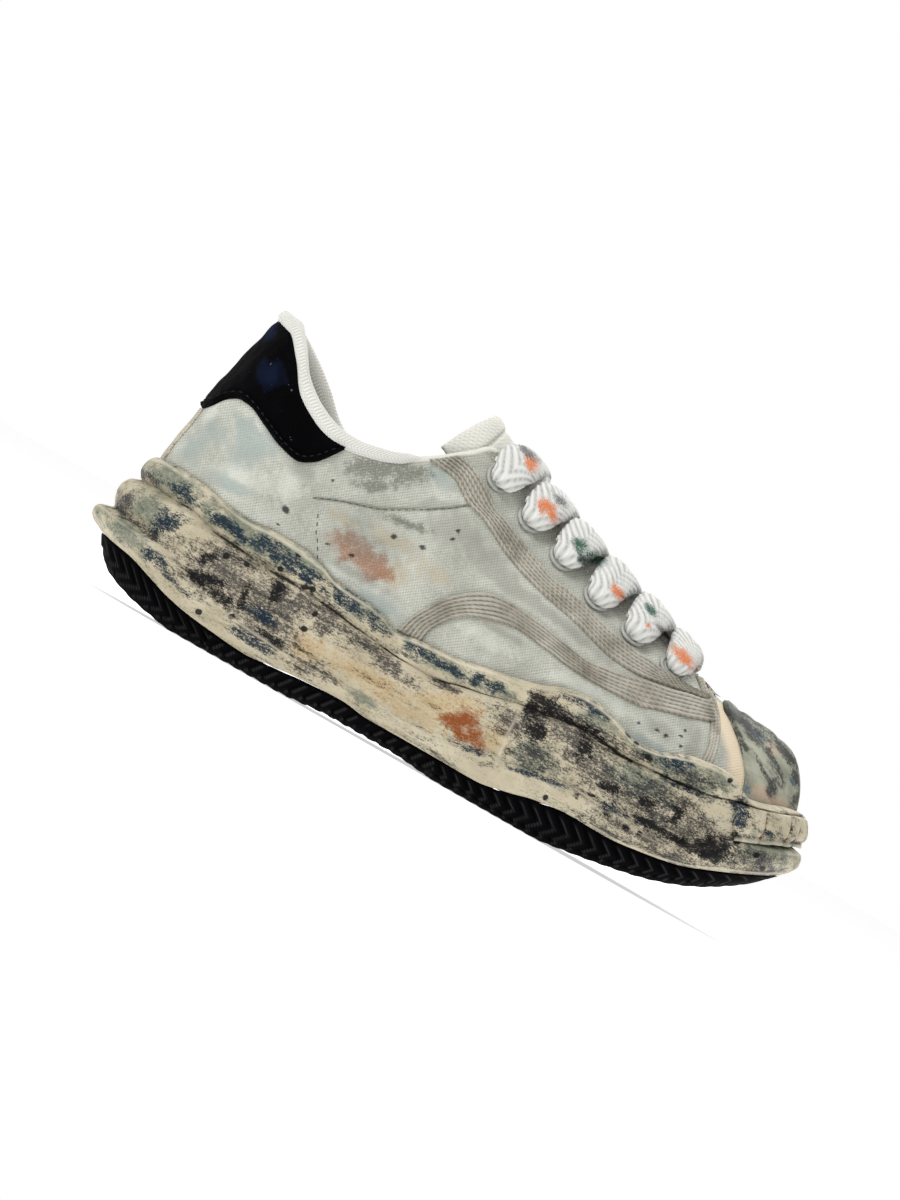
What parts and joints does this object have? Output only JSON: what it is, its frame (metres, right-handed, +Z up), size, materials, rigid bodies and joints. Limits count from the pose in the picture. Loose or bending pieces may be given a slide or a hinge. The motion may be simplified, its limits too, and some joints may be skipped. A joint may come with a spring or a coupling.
{
  "type": "worn-out low sneaker",
  "caption": "Worn low canvas sneaker for the right foot, with a thick wavy rubber cupsole, toe cap, padded collar and flat laces.",
  "frame": {"origin": "on the floor, under the middle of the shoe's length and width", "axes": "+X from heel to toe, +Y to the wearer's inner side (left), +Z up"},
  "size_m": [0.3026, 0.115, 0.1336],
  "materials": {
    "outsole_rubber": "worn black rubber with ribs",
    "sole_rubber": "matte cream rubber, grimy and smeared with dark blue and rust",
    "canvas": "faded canvas with stains",
    "toe_cap_coating": "coated canvas, soiled",
    "tab_cloth": "near-black woven cloth",
    "backstay_cloth": "cream webbing",
    "collar_knit": "thick rib knit",
    "tongue_knit": "padded knit with a bound edge",
    "footbed_cloth": "worn cloth",
    "eyelet_paint": "pale grey paint, chipped",
    "lace_cloth": "chunky flat woven lace, stained"
  },
  "bodies": {
    "root": {"outsole": "outsole_rubber", "midsole": "sole_rubber", "toe_bumper": "sole_rubber", "insole": "footbed_cloth", "upper": "canvas", "toe_cap": "toe_cap_coating", "heel_tab": "tab_cloth", "heel_strip": "backstay_cloth", "collar_roll": "collar_knit", "tongue": "tongue_knit", "eyelet_outer_1": "eyelet_paint", "eyelet_outer_2": "eyelet_paint", "eyelet_outer_3": "eyelet_paint", "eyelet_outer_4": "eyelet_paint", "eyelet_outer_5": "eyelet_paint", "eyelet_outer_6": "eyelet_paint", "eyelet_inner_1": "eyelet_paint", "eyelet_inner_2": "eyelet_paint", "eyelet_inner_3": "eyelet_paint", "eyelet_inner_4": "eyelet_paint", "eyelet_inner_5": "eyelet_paint", "eyelet_inner_6": "eyelet_paint", "lace_crossing_1": "lace_cloth", "lace_crossing_2": "lace_cloth", "lace_crossing_3": "lace_cloth", "lace_crossing_4": "lace_cloth", "lace_crossing_5": "lace_cloth", "lace_bar": "lace_cloth"}
  },
  "joints": []
}
